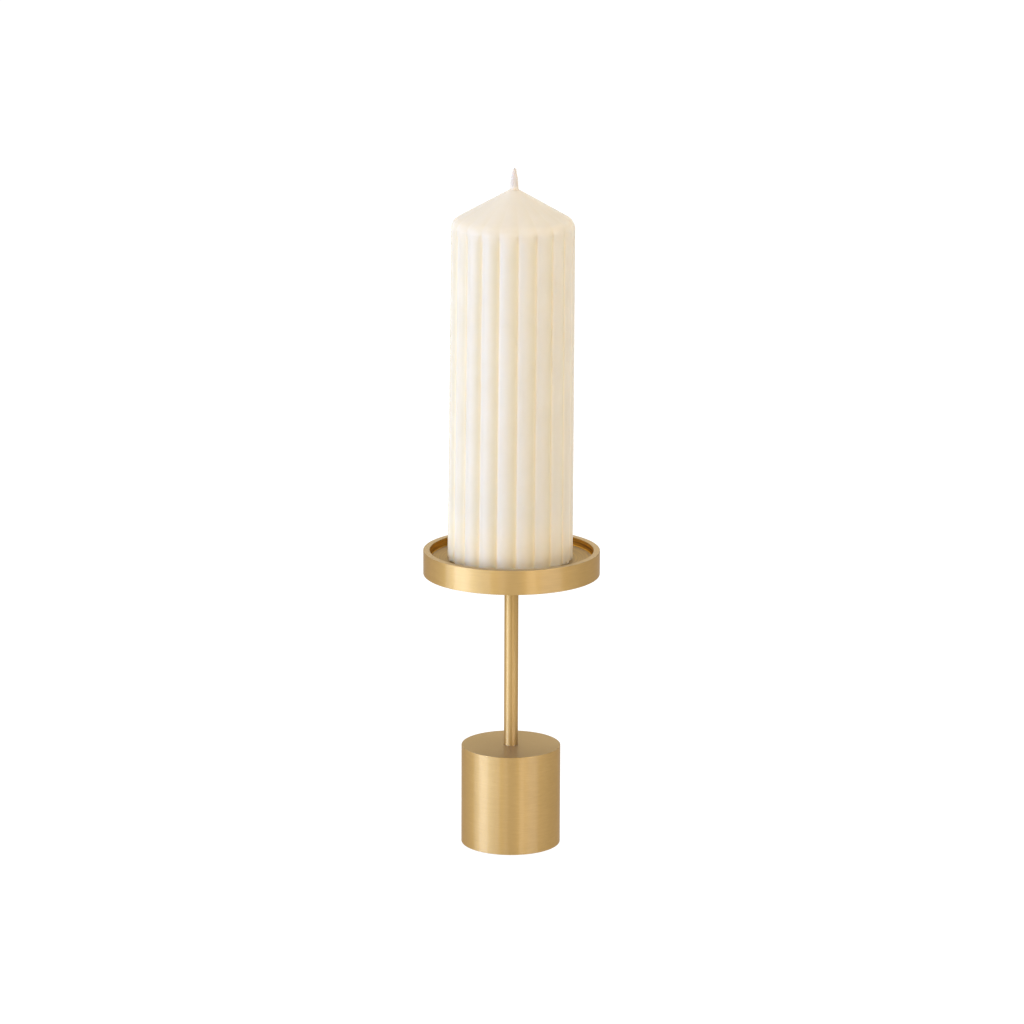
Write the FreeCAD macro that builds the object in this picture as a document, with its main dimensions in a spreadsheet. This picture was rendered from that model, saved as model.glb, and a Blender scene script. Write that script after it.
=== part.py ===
"""Pillar candle holder: turned brass base, rod and dish, with a ribbed wax pillar candle in the dish.

Frame: millimetres, +Z up along the axis of every turned piece, origin at the middle of the felt pad's
underside, which is what the holder stands on. -Y is the front.
"""
import FreeCAD, Part
import math
import os

import Sketcher

Vector = FreeCAD.Vector
doc = FreeCAD.newDocument("pillar_candle_holder")

# ------------------------------------------------------------------------------- driving dimensions

DIMENSIONS = [
    # base and pad
    ("base_radius", 28.25, "outside radius of the base cylinder"),
    ("base_height", 57.6, "height of the brass base, without the pad"),
    ("base_edge", 0.4, "edge break round the top and the bottom of the base"),
    ("pad_radius", 25.8, "radius of the felt pad"),
    ("pad_thickness", 1.5, "thickness of the felt pad"),
    ("pad_proud", 0.5, "how far the pad stands below the brass"),
    ("pad_clearance", 0.2, "radial gap between the pad and its recess"),
    # stem
    ("stem_radius", 4.0, "radius of the rod"),
    ("stem_edge", 0.3, "chamfer on the rod's ends and on the base's socket"),
    ("stem_clearance", 0.05, "radial gap between the rod and its sockets"),
    ("base_socket_depth", 12.0, "how far the rod stands in the base"),
    ("base_web", 8.0, "brass left under the base's socket, which the screw clamps"),
    ("access_radius", 7.0, "radius of the bore that lets the screw in from below"),
    # dish
    ("dish_radius", 50.0, "outside radius of the dish"),
    ("dish_height", 13.9, "outside height of the dish"),
    ("rim_top", 172.5, "height of the rim above the table"),
    ("rim_width", 3.7, "width of the flat rim, which is the wall's thickness"),
    ("rim_edge", 0.35, "edge break on the dish's four rim edges"),
    ("tray_depth", 4.8, "depth of the tray that the candle stands in"),
    ("tray_corner", 0.9, "fillet between the tray's floor and its wall"),
    ("floor_thickness", 3.5, "thickness of the tray's floor"),
    ("boss_radius", 9.0, "radius of the boss under the floor"),
    ("boss_socket_depth", 4.6, "how far the rod stands in the boss"),
    # M4 fasteners
    ("screw_radius", 1.98, "radius of an M4 screw's shank"),
    ("tapped_radius", 2.0, "radius of an M4 tapped hole"),
    ("tapped_depth", 16.0, "depth of the tapped holes in the rod's ends"),
    ("clearance_radius", 2.25, "radius of an M4 clearance hole"),
    ("dish_screw_length", 14.0, "length of the countersunk screw, head included"),
    ("dish_screw_head_radius", 4.0, "radius of the countersunk head"),
    ("dish_screw_sunk", 0.1, "how far the head lies below the tray's floor"),
    ("dish_screw_gap", 0.03, "radial gap between the countersunk head and its seat"),
    ("dish_screw_hex", 2.5, "across flats of the countersunk screw's socket"),
    ("base_screw_length", 20.0, "length of the socket-head screw under its head"),
    ("base_screw_head_radius", 3.5, "radius of the socket head"),
    ("base_screw_head_height", 4.0, "height of the socket head"),
    ("base_screw_hex", 3.0, "across flats of the socket head's socket"),
    ("hex_depth", 2.0, "depth of both hexagon sockets"),
    ("screw_edge", 0.3, "edge break on the screws"),
    ("washer_radius", 4.5, "outside radius of the plain washer"),
    ("washer_thickness", 0.8, "thickness of the plain washer"),
    ("spring_washer_radius", 3.8, "outside radius of the spring washer"),
    ("spring_washer_thickness", 1.0, "thickness of the spring washer, pressed flat"),
    ("spring_washer_split", 0.6, "width of the spring washer's split"),
    ("split_reach", 1.0, "how far the split's outline reaches out past the spring washer"),
    # candle
    ("candle_foot_radius", 35.45, "radius over the ribs at the foot"),
    ("candle_shoulder_radius", 34.6, "radius over the ribs at the sharp shoulder, before it is rounded"),
    ("candle_wall_height", 192.8, "height of the sharp shoulder above the foot"),
    ("candle_cone_height", 19.4, "height of the cone's virtual apex above the sharp shoulder"),
    ("shoulder_round", 6.5, "rounding of the shoulder"),
    ("foot_round", 0.6, "rounding of the foot"),
    ("nib_base_radius", 2.35, "radius of the wax-coated wick where it leaves the cone"),
    ("nib_tip_radius", 0.75, "radius of the wax coat at its tip"),
    ("nib_top", 390.4, "height of the wax coat's tip above the table"),
    ("nib_fillet", 1.2, "fillet between the cone and the nib"),
    ("rib_count", 20, "number of ribs round the candle"),
    ("rib_phase", 4.9, "angle of the first groove from +X, in degrees"),
    ("rib_land", 0.06, "how far a rib's arc would stand above the pillar, which leaves a narrow land"),
    ("rib_round", 8.0, "radius of a rib's arc at the foot"),
    ("groove_end_radius", 20.0, "radius of the cone where the grooves have run out"),
    ("groove_end_lift", 1.056, "size of the grooves' last section over the cone's own, to lift them out"),
    ("groove_reach", 3.0, "how far the shape that cuts a groove reaches out past the ribs"),
    # wick and sustainer
    ("wick_radius", 0.6, "radius of the cotton wick"),
    ("wick_clearance", 0.02, "radial gap between the wick and what holds it"),
    ("wick_proud", 0.4, "how far the cut end of the wick stands out of the wax"),
    ("sustainer_radius", 10.0, "radius of the wick sustainer's tab"),
    ("sustainer_sheet", 0.3, "thickness of the tin plate"),
    ("sustainer_neck", 6.0, "height of the sustainer's neck"),
    ("sustainer_inset", 0.2, "how far the tab lies above the candle's foot"),
    ("sustainer_clearance", 0.2, "gap between the sustainer and the wax"),
]

dims = doc.addObject("Spreadsheet::Sheet", "dims")
for row, (alias, value, meaning) in enumerate(DIMENSIONS, start=1):
    dims.set(f"A{row}", meaning)
    dims.set(f"B{row}", str(value))
    dims.setAlias(f"B{row}", alias)
doc.recompute()

# heights worked out from the driving dimensions, as expressions that the features are bound to
BASE_BOTTOM = "dims.pad_proud"
BASE_TOP = "(dims.pad_proud + dims.base_height)"
PAD_TOP = "dims.pad_thickness"
SOCKET_FLOOR = f"({BASE_TOP} - dims.base_socket_depth)"
WEB_BOTTOM = f"({SOCKET_FLOOR} - dims.base_web)"
SOCKET_RADIUS = "(dims.stem_radius + dims.stem_clearance)"
DISH_BOTTOM = "(dims.rim_top - dims.dish_height)"
TRAY_FLOOR = "(dims.rim_top - dims.tray_depth)"
TRAY_RADIUS = "(dims.dish_radius - dims.rim_width)"
FLOOR_UNDERSIDE = f"({TRAY_FLOOR} - dims.floor_thickness)"
BOSS_SOCKET_FLOOR = f"({DISH_BOTTOM} + dims.boss_socket_depth)"
SHOULDER = f"({TRAY_FLOOR} + dims.candle_wall_height)"
CONE_SLOPE = "(dims.candle_cone_height / dims.candle_shoulder_radius)"
APEX = f"({SHOULDER} + dims.candle_cone_height)"
WICK_BORE = "(dims.wick_radius + dims.wick_clearance)"
NECK_RADIUS = f"({WICK_BORE} + dims.sustainer_sheet)"


# ---------------------------------------------------------------------------------- building blocks

def new_body(label):
    """An empty body whose Label names the piece."""
    body = doc.addObject("PartDesign::Body", label)
    body.Label = label
    return body


def origin_feature(body, role):
    """One of the body's own origin planes or axes, such as XY_Plane or Z_Axis."""
    for feature in body.Origin.OriginFeatures:
        if feature.Role == role:
            return feature
    raise ValueError(f"{body.Label} has no {role}")


def new_sketch(body, name, role="XY_Plane", height=None):
    """An empty sketch on one of the body's planes, lifted along its normal when a height is given."""
    sketch = body.newObject("Sketcher::SketchObject", f"{body.Label}_{name}")
    sketch.AttachmentSupport = [(origin_feature(body, role), "")]
    sketch.MapMode = "FlatFace"
    if height is not None:
        sketch.setExpression("AttachmentOffset.Base.z", height)
    return sketch


def hold(sketch, kind, geometry, present, expression):
    """Adds a constraint at the present value of what it measures, and binds it to an expression."""
    index = sketch.addConstraint(Sketcher.Constraint(kind, *geometry, present))
    sketch.setExpression(f"Constraints[{index}]", expression)


def hold_across(sketch, geometry, expression):
    """Holds a point, given as (edge, which end), at a distance along the first axis; None is zero."""
    if expression is None:
        sketch.addConstraint(Sketcher.Constraint("PointOnObject", *geometry, -2))
    else:
        hold(sketch, "DistanceX", (-1, 1, *geometry), sketch.getPoint(*geometry).x, expression)


def hold_up(sketch, geometry, expression):
    """Holds a point, given as (edge, which end), at a distance along the second axis; None is zero."""
    if expression is None:
        sketch.addConstraint(Sketcher.Constraint("PointOnObject", *geometry, -1))
    else:
        hold(sketch, "DistanceY", (-1, 1, *geometry), sketch.getPoint(*geometry).y, expression)


def place_point(sketch, geometry, across, up):
    """Holds a point, given as (edge, which end), at two expressions; None is zero."""
    hold_across(sketch, geometry, across)
    hold_up(sketch, geometry, up)


def outline_sketch(body, name, corners, role="XZ_Plane", height=None):
    """A closed outline of straight lines. Each corner is a pair of expressions; None stands for zero."""
    sketch = new_sketch(body, name, role, height)
    count = len(corners)
    start = [Vector(10 + math.cos(2 * math.pi * i / count), 10 + math.sin(2 * math.pi * i / count), 0)
             for i in range(count)]
    for i in range(count):
        sketch.addGeometry(Part.LineSegment(start[i], start[(i + 1) % count]), False)
    for i in range(count):
        sketch.addConstraint(Sketcher.Constraint("Coincident", i, 2, (i + 1) % count, 1))
    for i, (across, up) in enumerate(corners):
        place_point(sketch, (i, 1), across, up)
    return sketch


def circle_sketch(body, name, radii, height):
    """Circles round the axis at a height: one for a disc, two for a ring."""
    sketch = new_sketch(body, name, height=height)
    for i, radius in enumerate(radii):
        sketch.addGeometry(Part.Circle(Vector(0, 0, 0), Vector(0, 0, 1), 1.0 + i), False)
        sketch.addConstraint(Sketcher.Constraint("Coincident", i, 3, -1, 1))
        hold(sketch, "Radius", (i,), 1.0 + i, radius)
    return sketch


def turned(body, corners):
    """A solid of revolution about Z, from an outline of (radius, height) corners."""
    sketch = outline_sketch(body, "profile", corners)
    revolution = body.newObject("PartDesign::Revolution", f"{body.Label}_turned")
    revolution.Profile = sketch
    revolution.ReferenceAxis = (origin_feature(body, "Z_Axis"), [""])
    revolution.Angle = 360.0
    sketch.Visibility = False
    doc.recompute()
    return revolution


def pad(body, name, radii, height, length):
    """A disc or ring that rises from a height."""
    sketch = circle_sketch(body, f"{name}_sketch", radii, height)
    feature = body.newObject("PartDesign::Pad", f"{body.Label}_{name}")
    feature.Profile = sketch
    feature.setExpression("Length", length)
    doc.recompute()
    return feature


def pocket(body, name, sketch, length, upward):
    """Cuts a sketch's shape out of the body, up or down from its plane, and makes sure that it cut."""
    before = body.Shape.Volume
    feature = body.newObject("PartDesign::Pocket", f"{body.Label}_{name}")
    feature.Profile = sketch
    feature.Reversed = upward
    feature.setExpression("Length", length)
    doc.recompute()
    if not body.Shape.Volume < before - 1e-6:
        raise RuntimeError(f"{feature.Name} cut nothing")
    return feature


def round_pocket(body, name, radius, height, length, upward):
    """A round hole on the axis."""
    return pocket(body, name, circle_sketch(body, f"{name}_sketch", [radius], height), length, upward)


def hex_sketch(body, name, across_flats, height):
    """A hexagon round the axis, with two of its sides along X."""
    corner = f"({across_flats} / sqrt(3))"
    half = f"({across_flats} / 2)"
    sketch = new_sketch(body, name, height=height)
    turns = [math.radians(60 * i) for i in range(6)]
    points = [Vector(math.cos(turn), math.sin(turn), 0) for turn in turns]
    for i in range(6):
        sketch.addGeometry(Part.LineSegment(points[i], points[(i + 1) % 6]), False)
    for i in range(6):
        sketch.addConstraint(Sketcher.Constraint("Coincident", i, 2, (i + 1) % 6, 1))
    corners = [
        (corner, None),
        (f"{corner} / 2", half),
        (f"-{corner} / 2", half),
        (f"-{corner}", None),
        (f"-{corner} / 2", f"-{half}"),
        (f"{corner} / 2", f"-{half}"),
    ]
    for i, (across, up) in enumerate(corners):
        place_point(sketch, (i, 1), across, up)
    return sketch


def circles_at(shape, places):
    """Names of the shape's circular edges at the (radius, height) places, which are numbers."""
    names = []
    for radius, height in places:
        found = [
            f"Edge{number}"
            for number, edge in enumerate(shape.Edges, start=1)
            if isinstance(edge.Curve, Part.Circle)
            and abs(edge.Curve.Radius - radius) < 1e-4
            and abs(edge.Curve.Center.z - height) < 1e-4
            and math.hypot(edge.Curve.Center.x, edge.Curve.Center.y) < 1e-4
        ]
        if not found:
            raise ValueError(f"no circle of radius {radius} at height {height}")
        names += found
    return names


def dress(body, kind, name, places, size):
    """A Fillet or a Chamfer on the body's circular edges at the (radius, height) places."""
    base = body.Tip
    feature = body.newObject(f"PartDesign::{kind}", f"{body.Label}_{name}")
    feature.Base = (base, circles_at(base.Shape, places))
    feature.setExpression("Radius" if kind == "Fillet" else "Size", size)
    base.Visibility = False
    doc.recompute()
    return feature


# numbers that the edge searches use, from the same sheet
base_bottom = dims.pad_proud
base_top = base_bottom + dims.base_height
socket_floor = base_top - dims.base_socket_depth
web_bottom = socket_floor - dims.base_web
socket_radius = dims.stem_radius + dims.stem_clearance
dish_bottom = dims.rim_top - dims.dish_height
tray_floor = dims.rim_top - dims.tray_depth
tray_radius = dims.dish_radius - dims.rim_width
boss_socket_floor = dish_bottom + dims.boss_socket_depth
shoulder = tray_floor + dims.candle_wall_height
apex = shoulder + dims.candle_cone_height
cone_slope = dims.candle_cone_height / dims.candle_shoulder_radius


# ------------------------------------------------------------------------------------- base and pad

def build_base():
    """The base cylinder: the rod's socket on top, an access bore and the pad's recess underneath."""
    body = new_body("base_weight")
    pad(body, "cylinder", ["dims.base_radius"], BASE_BOTTOM, "dims.base_height")
    round_pocket(body, "rod_socket", SOCKET_RADIUS, BASE_TOP, "dims.base_socket_depth", upward=False)
    round_pocket(body, "screw_hole", "dims.clearance_radius", SOCKET_FLOOR, "dims.base_web", upward=False)
    bore_depth = f"{WEB_BOTTOM} - {BASE_BOTTOM}"
    round_pocket(body, "access_bore", "dims.access_radius", BASE_BOTTOM, bore_depth, upward=True)
    recess_radius = "dims.pad_radius + dims.pad_clearance"
    recess_depth = f"{PAD_TOP} - {BASE_BOTTOM}"
    round_pocket(body, "pad_recess", recess_radius, BASE_BOTTOM, recess_depth, upward=True)
    outside = [(dims.base_radius, base_top), (dims.base_radius, base_bottom)]
    dress(body, "Fillet", "edge_break", outside, "dims.base_edge")
    dress(body, "Chamfer", "socket_mouth", [(socket_radius, base_top)], "dims.stem_edge")
    return body


def build_pad():
    """The felt disc that the holder stands on."""
    body = new_body("felt_pad")
    pad(body, "disc", ["dims.pad_radius"], None, "dims.pad_thickness")
    return body


# --------------------------------------------------------------------------------------------- stem

def build_stem():
    """The rod from the base's socket to the dish's boss, tapped at both ends."""
    body = new_body("stem")
    pad(body, "rod", ["dims.stem_radius"], SOCKET_FLOOR, f"{BOSS_SOCKET_FLOOR} - {SOCKET_FLOOR}")
    for name, end, upward in (("lower", SOCKET_FLOOR, True), ("upper", BOSS_SOCKET_FLOOR, False)):
        round_pocket(body, f"{name}_tapping", "dims.tapped_radius", end, "dims.tapped_depth", upward)
    ends = [(dims.stem_radius, socket_floor), (dims.stem_radius, boss_socket_floor)]
    dress(body, "Chamfer", "end_chamfers", ends, "dims.stem_edge")
    return body


# --------------------------------------------------------------------------------------------- dish

def build_dish():
    """The tray: a wall that also hides a recess under the floor, and a boss with a socket for the rod."""
    body = new_body("dish")
    countersink = "(dims.dish_screw_head_radius + dims.dish_screw_sunk + dims.dish_screw_gap)"
    turned(body, [
        ("dims.clearance_radius", BOSS_SOCKET_FLOOR),
        (SOCKET_RADIUS, BOSS_SOCKET_FLOOR),
        (SOCKET_RADIUS, DISH_BOTTOM),
        ("dims.boss_radius", DISH_BOTTOM),
        ("dims.boss_radius", FLOOR_UNDERSIDE),
        (TRAY_RADIUS, FLOOR_UNDERSIDE),
        (TRAY_RADIUS, DISH_BOTTOM),
        ("dims.dish_radius", DISH_BOTTOM),
        ("dims.dish_radius", "dims.rim_top"),
        (TRAY_RADIUS, "dims.rim_top"),
        (TRAY_RADIUS, TRAY_FLOOR),
        (countersink, TRAY_FLOOR),
        ("dims.clearance_radius", f"{TRAY_FLOOR} - ({countersink} - dims.clearance_radius)"),
    ])
    rims = [(dims.dish_radius, dims.rim_top), (tray_radius, dims.rim_top),
            (dims.dish_radius, dish_bottom), (tray_radius, dish_bottom)]
    dress(body, "Fillet", "rim_edges", rims, "dims.rim_edge")
    dress(body, "Fillet", "tray_corner", [(tray_radius, tray_floor)], "dims.tray_corner")
    return body


# ---------------------------------------------------------------------------------------- fasteners

def build_dish_screw():
    """The countersunk screw that holds the dish on the rod."""
    body = new_body("dish_screw")
    top = f"({TRAY_FLOOR} - dims.dish_screw_sunk)"
    head = "dims.dish_screw_head_radius"
    turned(body, [
        (None, f"{top} - dims.dish_screw_length"),
        ("dims.screw_radius", f"{top} - dims.dish_screw_length"),
        ("dims.screw_radius", f"{top} - ({head} - dims.screw_radius)"),
        (head, top),
        (None, top),
    ])
    hexagon = hex_sketch(body, "socket_sketch", "dims.dish_screw_hex", top)
    pocket(body, "socket", hexagon, "dims.hex_depth", upward=False)
    tip = tray_floor - dims.dish_screw_sunk - dims.dish_screw_length
    dress(body, "Chamfer", "tip", [(dims.screw_radius, tip)], "dims.screw_edge")
    return body


def build_base_screw():
    """The socket-head screw that pulls the rod down into the base."""
    body = new_body("base_screw")
    seat = f"({WEB_BOTTOM} - dims.washer_thickness - dims.spring_washer_thickness)"
    bottom = f"({seat} - dims.base_screw_head_height)"
    pad(body, "head", ["dims.base_screw_head_radius"], bottom, "dims.base_screw_head_height")
    pad(body, "shank", ["dims.screw_radius"], seat, "dims.base_screw_length")
    hexagon = hex_sketch(body, "socket_sketch", "dims.base_screw_hex", bottom)
    pocket(body, "socket", hexagon, "dims.hex_depth", upward=True)
    seat_height = web_bottom - dims.washer_thickness - dims.spring_washer_thickness
    edges = [(dims.base_screw_head_radius, seat_height - dims.base_screw_head_height),
             (dims.screw_radius, seat_height + dims.base_screw_length)]
    dress(body, "Chamfer", "edges", edges, "dims.screw_edge")
    return body


def build_base_washer():
    """The plain washer against the base's web."""
    body = new_body("base_washer")
    pad(body, "ring", ["dims.washer_radius", "dims.clearance_radius"],
        f"{WEB_BOTTOM} - dims.washer_thickness", "dims.washer_thickness")
    return body


def build_spring_washer():
    """The split washer, pressed flat between the screw's head and the plain washer."""
    body = new_body("spring_washer")
    bottom = f"({WEB_BOTTOM} - dims.washer_thickness - dims.spring_washer_thickness)"
    radii = ["dims.spring_washer_radius", "dims.clearance_radius"]
    pad(body, "ring", radii, bottom, "dims.spring_washer_thickness")
    half = "(dims.spring_washer_split / 2)"
    reach = "(dims.spring_washer_radius + dims.split_reach)"
    corners = [(None, f"-{half}"), (reach, f"-{half}"), (reach, half), (None, half)]
    split = outline_sketch(body, "split_sketch", corners, role="XY_Plane", height=bottom)
    pocket(body, "split", split, "dims.spring_washer_thickness", upward=True)
    return body


# ------------------------------------------------------------------------------------------- candle

def groove_sketch(body, name, pillar_radius, height):
    """The gap between two ribs, astride +X, where the pillar's radius is an expression.

    Each rib's arc is centred half a pitch away from the groove. Its radius keeps its share of the pillar's
    radius, so the gap is the same shape everywhere and only its size follows the taper.
    """
    scale = f"({pillar_radius} / dims.candle_foot_radius)"
    arc_radius = f"(dims.rib_round * {scale})"
    centre = f"({pillar_radius} + dims.rib_land * {scale} - {arc_radius})"
    outside = f"({pillar_radius} + dims.groove_reach * {scale})"
    ridge = f"({centre} + {arc_radius})"
    half_pitch = "(180 deg / dims.rib_count)"
    sketch = new_sketch(body, name, height=height)

    # a first layout from the numbers at the foot, which the constraints then take to size
    half = math.radians(180.0 / dims.rib_count)
    rib = dims.rib_round
    middle = dims.candle_foot_radius + dims.rib_land - rib
    across = Vector(middle * math.cos(half), middle * math.sin(half), 0)
    cusp = Vector(across.x + math.sqrt(rib ** 2 - across.y ** 2), 0, 0)
    crest = across + Vector(rib * math.cos(half), rib * math.sin(half), 0)
    far = crest + Vector(dims.groove_reach * math.cos(half), dims.groove_reach * math.sin(half), 0)

    def mirrored(point):
        return Vector(point.x, -point.y, 0)

    cusp_angle = math.atan2(-across.y, cusp.x - across.x)
    upper = Part.ArcOfCircle(Part.Circle(across, Vector(0, 0, 1), rib), cusp_angle, half)
    lower = Part.ArcOfCircle(Part.Circle(mirrored(across), Vector(0, 0, 1), rib), -half, -cusp_angle)
    sketch.addGeometry(upper, False)
    sketch.addGeometry(Part.LineSegment(crest, far), False)
    sketch.addGeometry(Part.LineSegment(far, mirrored(far)), False)
    sketch.addGeometry(Part.LineSegment(mirrored(far), mirrored(crest)), False)
    sketch.addGeometry(lower, False)
    for edge in range(5):
        sketch.addConstraint(Sketcher.Constraint("Coincident", edge, 2, (edge + 1) % 5, 1))
    place_point(sketch, (0, 3), f"{centre} * cos({half_pitch})", f"{centre} * sin({half_pitch})")
    place_point(sketch, (4, 3), f"{centre} * cos({half_pitch})", f"-{centre} * sin({half_pitch})")
    hold(sketch, "Radius", (0,), rib, arc_radius)
    hold(sketch, "Radius", (4,), rib, arc_radius)
    hold_up(sketch, (0, 2), f"{ridge} * sin({half_pitch})")
    hold_up(sketch, (4, 1), f"-{ridge} * sin({half_pitch})")
    place_point(sketch, (1, 2), f"{outside} * cos({half_pitch})", f"{outside} * sin({half_pitch})")
    place_point(sketch, (2, 2), f"{outside} * cos({half_pitch})", f"-{outside} * sin({half_pitch})")
    return sketch


def cut_groove(body, name, lower, upper):
    """Lofts the gap between two ribs from one (pillar radius, height) to another and cuts it out."""
    low_section = groove_sketch(body, f"{name}_low", *lower)
    high_section = groove_sketch(body, f"{name}_high", *upper)
    loft = body.newObject("PartDesign::SubtractiveLoft", f"{body.Label}_{name}")
    loft.Profile = low_section
    loft.Sections = [high_section]
    loft.Ruled = True
    doc.recompute()
    return loft


def build_candle():
    """The wax pillar: tapered and ribbed, with a cone on top that draws out into the wax-coated nib."""
    body = new_body("candle_body")
    turned(body, [
        (WICK_BORE, TRAY_FLOOR),
        ("dims.candle_foot_radius", TRAY_FLOOR),
        ("dims.candle_shoulder_radius", SHOULDER),
        ("dims.nib_base_radius", f"{APEX} - {CONE_SLOPE} * dims.nib_base_radius"),
        ("dims.nib_tip_radius", "dims.nib_top"),
        (WICK_BORE, "dims.nib_top"),
    ])
    shoulder_edge = (dims.candle_shoulder_radius, shoulder)
    foot_edge = (dims.candle_foot_radius, tray_floor)
    nib_base = (dims.nib_base_radius, apex - cone_slope * dims.nib_base_radius)
    dress(body, "Fillet", "shoulder_rounding", [shoulder_edge], "dims.shoulder_round")
    dress(body, "Fillet", "foot_rounding", [foot_edge], "dims.foot_round")
    dress(body, "Fillet", "nib_blend", [nib_base], "dims.nib_fillet")
    recess = "dims.sustainer_radius + dims.sustainer_clearance"
    recess_depth = "dims.sustainer_inset + dims.sustainer_sheet + dims.sustainer_clearance"
    round_pocket(body, "sustainer_recess", recess, TRAY_FLOOR, recess_depth, upward=True)
    neck_depth = f"{recess_depth} + dims.sustainer_neck"
    neck_radius = f"{NECK_RADIUS} + dims.sustainer_clearance"
    round_pocket(body, "neck_recess", neck_radius, TRAY_FLOOR, neck_depth, upward=True)

    volume = body.Shape.Volume
    foot = ("dims.candle_foot_radius", TRAY_FLOOR)
    sharp_shoulder = ("dims.candle_shoulder_radius", SHOULDER)
    run_out_height = f"{APEX} - {CONE_SLOPE} * dims.groove_end_radius"
    run_out = ("(dims.groove_end_radius * dims.groove_end_lift)", run_out_height)
    grooves = [cut_groove(body, "wall_groove", foot, sharp_shoulder),
               cut_groove(body, "cone_groove", sharp_shoulder, run_out)]
    pattern = body.newObject("PartDesign::PolarPattern", "candle_body_grooves")
    pattern.Originals = grooves
    pattern.Axis = (origin_feature(body, "Z_Axis"), [""])
    pattern.Angle = 360.0
    pattern.setExpression("Occurrences", "dims.rib_count")
    body.Tip = pattern
    doc.recompute()
    one_groove = volume - grooves[-1].Shape.Volume
    all_grooves = volume - body.Shape.Volume
    print(f"candle: one groove {one_groove:.1f} mm3, all grooves {all_grooves:.1f} mm3")
    if abs(all_grooves - one_groove * dims.rib_count) > 0.01 * all_grooves:
        raise RuntimeError("the groove pattern didn't cut every groove")
    body.setExpression("Placement.Rotation.Angle", "dims.rib_phase")
    return body


def build_wick():
    """The cotton wick, from inside the sustainer's neck to its cut end above the wax."""
    body = new_body("candle_wick")
    start = f"{TRAY_FLOOR} + dims.sustainer_inset"
    pad(body, "cord", ["dims.wick_radius"], start, f"dims.nib_top + dims.wick_proud - ({start})")
    return body


def build_sustainer():
    """The tin-plate tab under the wick, drawn up into a neck that is crimped round it."""
    body = new_body("wick_sustainer")
    bottom = f"({TRAY_FLOOR} + dims.sustainer_inset)"
    turned(body, [
        (WICK_BORE, bottom),
        ("dims.sustainer_radius", bottom),
        ("dims.sustainer_radius", f"{bottom} + dims.sustainer_sheet"),
        (NECK_RADIUS, f"{bottom} + dims.sustainer_sheet"),
        (NECK_RADIUS, f"{bottom} + dims.sustainer_neck"),
        (WICK_BORE, f"{bottom} + dims.sustainer_neck"),
    ])
    return body


# --------------------------------------------------------------------------------- build and export

pieces = [
    build_base(),
    build_pad(),
    build_stem(),
    build_dish(),
    build_dish_screw(),
    build_base_screw(),
    build_base_washer(),
    build_spring_washer(),
    build_candle(),
    build_wick(),
    build_sustainer(),
]
doc.recompute()

for item in doc.Objects:
    if "Invalid" in item.State or "Error" in item.State:
        raise RuntimeError(f"{item.Name} failed: {item.State}")

os.makedirs("parts", exist_ok=True)
for piece in pieces:
    shape = piece.Shape
    if shape.isNull() or not shape.isValid() or len(shape.Solids) != 1:
        raise RuntimeError(f"{piece.Label} is not one valid solid")
    shape.exportStep(f"parts/{piece.Label}.step")
    box = shape.BoundBox
    print(f"{piece.Label:16s} {shape.Volume / 1000:8.2f} cm3  z {box.ZMin:7.2f} to {box.ZMax:7.2f}  "
          f"across {box.XLength:.2f} x {box.YLength:.2f}")
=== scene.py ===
import math

import bmesh
import bpy
from mathutils import Matrix, Vector


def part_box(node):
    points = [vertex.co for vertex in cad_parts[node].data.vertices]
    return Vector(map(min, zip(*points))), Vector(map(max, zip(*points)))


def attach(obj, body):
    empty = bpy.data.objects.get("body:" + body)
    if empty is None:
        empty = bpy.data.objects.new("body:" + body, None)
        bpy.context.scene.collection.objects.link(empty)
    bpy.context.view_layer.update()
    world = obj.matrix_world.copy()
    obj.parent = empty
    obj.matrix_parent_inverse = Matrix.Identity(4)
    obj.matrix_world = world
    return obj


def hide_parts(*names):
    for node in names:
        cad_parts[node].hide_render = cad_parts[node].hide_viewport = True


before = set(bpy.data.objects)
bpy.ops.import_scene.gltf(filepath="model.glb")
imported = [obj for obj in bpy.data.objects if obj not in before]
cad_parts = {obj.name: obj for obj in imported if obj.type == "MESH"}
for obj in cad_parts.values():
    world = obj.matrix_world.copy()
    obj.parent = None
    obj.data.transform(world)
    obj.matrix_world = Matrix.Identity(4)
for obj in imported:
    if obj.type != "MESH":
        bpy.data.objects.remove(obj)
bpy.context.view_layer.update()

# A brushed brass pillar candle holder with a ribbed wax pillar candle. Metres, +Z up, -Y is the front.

MM = 0.001
# a tolerance on places, and a radius that counts as none
HAIR = 0.01 * MM
ON_AXIS = 1e-9
WHITE = (1.0, 1.0, 1.0)

# ---------------------------------------------------------------------------- sizes from the frame

BASE_LOW, BASE_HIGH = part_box("base_weight")
PAD_LOW, PAD_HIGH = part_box("felt_pad")
STEM_LOW, STEM_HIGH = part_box("stem")
DISH_LOW, DISH_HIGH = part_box("dish")
CANDLE_LOW, CANDLE_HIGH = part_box("candle_body")
WICK_LOW, WICK_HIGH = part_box("candle_wick")
TAB_LOW, TAB_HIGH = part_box("wick_sustainer")

BASE_RADIUS = BASE_HIGH.x
STEM_RADIUS = STEM_HIGH.x
DISH_RADIUS = DISH_HIGH.x
PAD_RADIUS = PAD_HIGH.x
WICK_RADIUS = WICK_HIGH.x
TAB_RADIUS = TAB_HIGH.x
TRAY_FLOOR = CANDLE_LOW.z

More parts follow.
